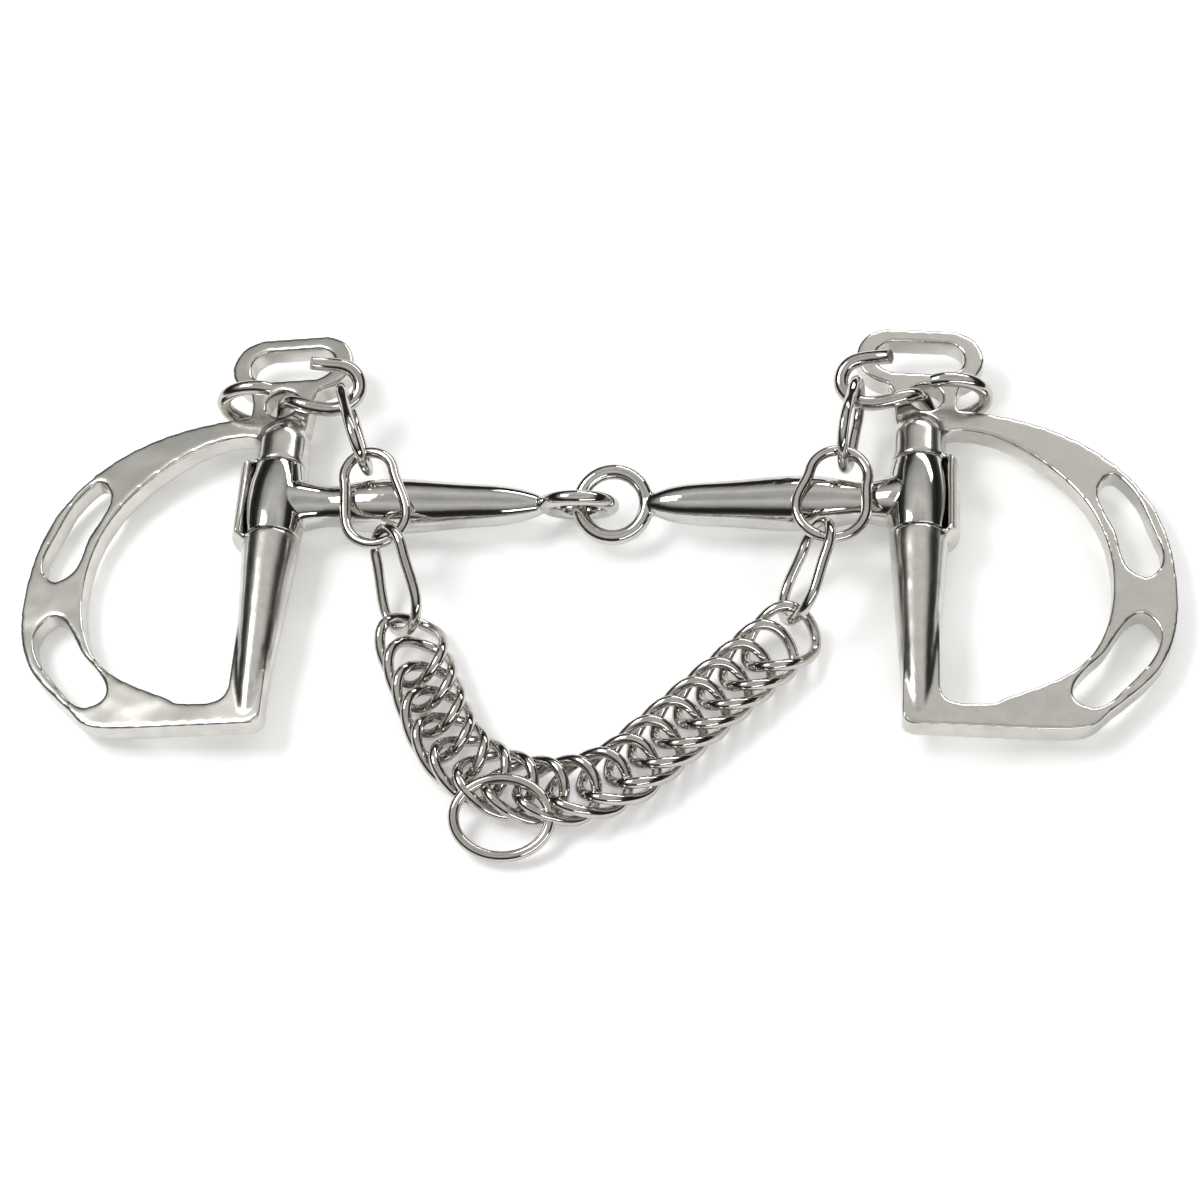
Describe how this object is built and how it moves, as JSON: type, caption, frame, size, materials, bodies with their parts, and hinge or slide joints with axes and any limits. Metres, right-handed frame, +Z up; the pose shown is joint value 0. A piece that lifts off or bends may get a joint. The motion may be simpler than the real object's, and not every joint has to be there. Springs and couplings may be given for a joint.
{
  "type": "curb bit",
  "caption": "Jointed curb bit with slotted D cheeks that turn on the mouthpiece, curb hooks and a twisted-link curb chain with its fly link",
  "frame": {"origin": "under the middle of the bit as it lies, on the surface it rests on", "axes": "+X to the right cheek along the mouthpiece, +Y towards the headstall eyes, +Z up"},
  "size_m": [0.2622, 0.1351, 0.0255],
  "materials": {
    "cheek_steel": "cast stainless steel, satin polished",
    "bar_steel": "stainless steel, mirror polished",
    "wire_steel": "bright stainless wire, tumbled"
  },
  "bodies": {
    "left_mouthpiece": {"left_mouthpiece": "bar_steel"},
    "right_mouthpiece": {"right_mouthpiece": "bar_steel"},
    "left_cheek": {"left_cheek": "cheek_steel", "left_hinge_pin": "bar_steel"},
    "right_cheek": {"right_cheek": "cheek_steel", "right_hinge_pin": "bar_steel"},
    "left_curb_hook": {"left_curb_hook": "wire_steel"},
    "right_curb_hook": {"right_curb_hook": "wire_steel"},
    "left_end_link_1": {"left_end_link_1": "wire_steel"},
    "left_end_link_2": {"left_end_link_2": "wire_steel"},
    "left_end_link_3": {"left_end_link_3": "wire_steel"},
    "right_end_link_1": {"right_end_link_1": "wire_steel"},
    "right_end_link_2": {"right_end_link_2": "wire_steel"},
    "right_end_link_3": {"right_end_link_3": "wire_steel"},
    "double_link_01": {"double_link_01": "wire_steel"},
    "double_link_02": {"double_link_02": "wire_steel"},
    "double_link_03": {"double_link_03": "wire_steel"},
    "double_link_04": {"double_link_04": "wire_steel"},
    "double_link_05": {"double_link_05": "wire_steel"},
    "double_link_06": {"double_link_06": "wire_steel"},
    "double_link_07": {"double_link_07": "wire_steel", "fly_link": "wire_steel"},
    "double_link_08": {"double_link_08": "wire_steel"},
    "double_link_09": {"double_link_09": "wire_steel"},
    "double_link_10": {"double_link_10": "wire_steel"},
    "double_link_11": {"double_link_11": "wire_steel"},
    "double_link_12": {"double_link_12": "wire_steel"},
    "double_link_13": {"double_link_13": "wire_steel"},
    "double_link_14": {"double_link_14": "wire_steel"},
    "double_link_15": {"double_link_15": "wire_steel"},
    "double_link_16": {"double_link_16": "wire_steel"},
    "double_link_17": {"double_link_17": "wire_steel"},
    "double_link_18": {"double_link_18": "wire_steel"}
  },
  "joints": [
    {"name": "left_cheek_turn", "type": "hinge", "parent": "left_mouthpiece", "child": "left_cheek", "pos_m": [-0.074, 0.0211, 0.0075], "axis": [0, 1, 0], "range_deg": [0, 90]},
    {"name": "right_cheek_turn", "type": "hinge", "parent": "right_mouthpiece", "child": "right_cheek", "pos_m": [0.074, 0.0211, 0.0075], "axis": [0, -1, 0], "range_deg": [0, 90]},
    {"name": "mouthpiece_fold", "type": "hinge", "parent": "left_mouthpiece", "child": "right_mouthpiece", "pos_m": [0.0004, 0.0211, 0.0075], "axis": [0, -1, 0], "range_deg": [0, 25]},
    {"name": "left_hook_turn", "type": "hinge", "parent": "left_cheek", "child": "left_curb_hook", "pos_m": [-0.0807, 0.0491, 0.0069], "axis": [0, 1, 0], "range_deg": [-63.92, 0]},
    {"name": "right_hook_turn", "type": "hinge", "parent": "right_cheek", "child": "right_curb_hook", "pos_m": [0.0807, 0.0491, 0.0069], "axis": [0, -1, 0], "range_deg": [-63.92, 0]},
    {"name": "chain_swing", "type": "hinge", "parent": "left_mouthpiece", "child": "left_end_link_1", "pos_m": [0, 0.0451, 0.01335], "axis": [1, 0, 0], "range_deg": [-60, 0]},
    {"name": "right_chain_swing", "type": "hinge", "parent": "right_mouthpiece", "child": "right_end_link_1", "pos_m": [0, 0.0451, 0.01335], "axis": [1, 0, 0], "range_deg": [-60.02, 0]},
    {"name": "left_end_link_2_turn", "type": "hinge", "parent": "left_end_link_1", "child": "left_end_link_2", "pos_m": [0, 0.0281, 0.0159], "axis": [1, 0, 0], "range_deg": [0, 7.22]},
    {"name": "right_end_link_2_turn", "type": "hinge", "parent": "right_end_link_1", "child": "right_end_link_2", "pos_m": [0, 0.0281, 0.0159], "axis": [1, 0, 0], "range_deg": [0, 7.22]},
    {"name": "left_end_link_3_turn", "type": "hinge", "parent": "left_end_link_2", "child": "left_end_link_3", "pos_m": [0, 0.0081, 0.0146], "axis": [1, 0, 0], "range_deg": [0, 7.22]},
    {"name": "right_end_link_3_turn", "type": "hinge", "parent": "right_end_link_2", "child": "right_end_link_3", "pos_m": [0, 0.0081, 0.0146], "axis": [1, 0, 0], "range_deg": [0, 7.22]},
    {"name": "double_link_01_turn", "type": "hinge", "parent": "left_end_link_3", "child": "double_link_01", "pos_m": [-0.0408, -0.0091, 0.0041], "axis": [0, 0, -1], "range_deg": [0, 2.25]},
    {"name": "double_link_02_turn", "type": "hinge", "parent": "double_link_01", "child": "double_link_02", "pos_m": [-0.03791, -0.0186, 0.0041], "axis": [0, 0, -1], "range_deg": [-1.87, 0]},
    {"name": "double_link_03_turn", "type": "hinge", "parent": "double_link_02", "child": "double_link_03", "pos_m": [-0.03532, -0.025, 0.0041], "axis": [0, 0, -1], "range_deg": [-2.94, 0]},
    {"name": "chain_bend", "type": "hinge", "parent": "double_link_03", "child": "double_link_04", "pos_m": [-0.03274, -0.03139, 0.0041], "axis": [0, 0, -1], "range_deg": [-4, 0]},
    {"name": "double_link_05_turn", "type": "hinge", "parent": "double_link_04", "child": "double_link_05", "pos_m": [-0.02977, -0.03761, 0.0041], "axis": [0, 0, -1], "range_deg": [0, 3.79]},
    {"name": "double_link_06_turn", "type": "hinge", "parent": "double_link_05", "child": "double_link_06", "pos_m": [-0.02572, -0.04313, 0.0041], "axis": [0, 0, -1], "range_deg": [0, 2.93]},
    {"name": "double_link_07_turn", "type": "hinge", "parent": "double_link_06", "child": "double_link_07", "pos_m": [-0.02045, -0.0475, 0.0041], "axis": [0, 0, -1], "range_deg": [0, 2.33]},
    {"name": "double_link_08_turn", "type": "hinge", "parent": "double_link_07", "child": "double_link_08", "pos_m": [-0.01426, -0.05043, 0.005], "axis": [0, -1, 0], "range_deg": [0, 2.52]},
    {"name": "double_link_09_turn", "type": "hinge", "parent": "double_link_08", "child": "double_link_09", "pos_m": [-0.00755, -0.05176, 0.005], "axis": [0, -1, 0], "range_deg": [0, 5.02]},
    {"name": "double_link_10_turn", "type": "hinge", "parent": "double_link_09", "child": "double_link_10", "pos_m": [-0.00071, -0.05141, 0.005], "axis": [0, -1, 0], "range_deg": [0, 6.27]},
    {"name": "double_link_11_turn", "type": "hinge", "parent": "double_link_10", "child": "double_link_11", "pos_m": [0.00583, -0.04938, 0.005], "axis": [0, -1, 0], "range_deg": [0, 6.27]},
    {"name": "double_link_12_turn", "type": "hinge", "parent": "double_link_11", "child": "double_link_12", "pos_m": [0.01168, -0.04581, 0.005], "axis": [0, -1, 0], "range_deg": [0, 5.02]},
    {"name": "double_link_13_turn", "type": "hinge", "parent": "double_link_12", "child": "double_link_13", "pos_m": [0.01679, -0.0412, 0.0041], "axis": [0, 0, -1], "range_deg": [-1.51, 0]},
    {"name": "double_link_14_turn", "type": "hinge", "parent": "double_link_13", "child": "double_link_14", "pos_m": [0.02162, -0.03627, 0.0041], "axis": [0, 0, -1], "range_deg": [-2.87, 0]},
    {"name": "double_link_15_turn", "type": "hinge", "parent": "double_link_14", "child": "double_link_15", "pos_m": [0.02645, -0.03134, 0.0041], "axis": [0, 0, -1], "range_deg": [-1.78, 0]},
    {"name": "double_link_16_turn", "type": "hinge", "parent": "double_link_15", "child": "double_link_16", "pos_m": [0.03127, -0.02641, 0.0041], "axis": [0, 0, -1], "range_deg": [-0.7, 0]},
    {"name": "double_link_17_turn", "type": "hinge", "parent": "double_link_16", "child": "double_link_17", "pos_m": [0.0361, -0.02148, 0.0041], "axis": [0, 0, -1], "range_deg": [0, 0.424]},
    {"name": "double_link_18_turn", "type": "hinge", "parent": "double_link_17", "child": "double_link_18", "pos_m": [0.04093, -0.01655, 0.0041], "axis": [0, 0, -1], "range_deg": [0, 3.96]}
  ],
  "couplings": [
    {"joint": "left_hook_turn", "follows": "left_cheek_turn", "ratio": -0.71},
    {"joint": "right_hook_turn", "follows": "right_cheek_turn", "ratio": -0.71},
    {"joint": "right_chain_swing", "follows": "chain_swing", "ratio": 1},
    {"joint": "left_end_link_2_turn", "follows": "chain_swing", "ratio": -0.12},
    {"joint": "right_end_link_2_turn", "follows": "chain_swing", "ratio": -0.12},
    {"joint": "left_end_link_3_turn", "follows": "chain_swing", "ratio": -0.12},
    {"joint": "right_end_link_3_turn", "follows": "chain_swing", "ratio": -0.12},
    {"joint": "double_link_01_turn", "follows": "chain_bend", "ratio": -0.557},
    {"joint": "double_link_02_turn", "follows": "chain_bend", "ratio": 0.462},
    {"joint": "double_link_03_turn", "follows": "chain_bend", "ratio": 0.731},
    {"joint": "double_link_05_turn", "follows": "chain_bend", "ratio": -0.943},
    {"joint": "double_link_06_turn", "follows": "chain_bend", "ratio": -0.728},
    {"joint": "double_link_07_turn", "follows": "chain_bend", "ratio": -0.577},
    {"joint": "double_link_08_turn", "follows": "mouthpiece_fold", "ratio": 0.1},
    {"joint": "double_link_09_turn", "follows": "mouthpiece_fold", "ratio": 0.2},
    {"joint": "double_link_10_turn", "follows": "mouthpiece_fold", "ratio": 0.25},
    {"joint": "double_link_11_turn", "follows": "mouthpiece_fold", "ratio": 0.25},
    {"joint": "double_link_12_turn", "follows": "mouthpiece_fold", "ratio": 0.2},
    {"joint": "double_link_13_turn", "follows": "chain_bend", "ratio": 0.373},
    {"joint": "double_link_14_turn", "follows": "chain_bend", "ratio": 0.713},
    {"joint": "double_link_15_turn", "follows": "chain_bend", "ratio": 0.441},
    {"joint": "double_link_16_turn", "follows": "chain_bend", "ratio": 0.17},
    {"joint": "double_link_17_turn", "follows": "chain_bend", "ratio": -0.101},
    {"joint": "double_link_18_turn", "follows": "chain_bend", "ratio": -0.984}
  ]
}
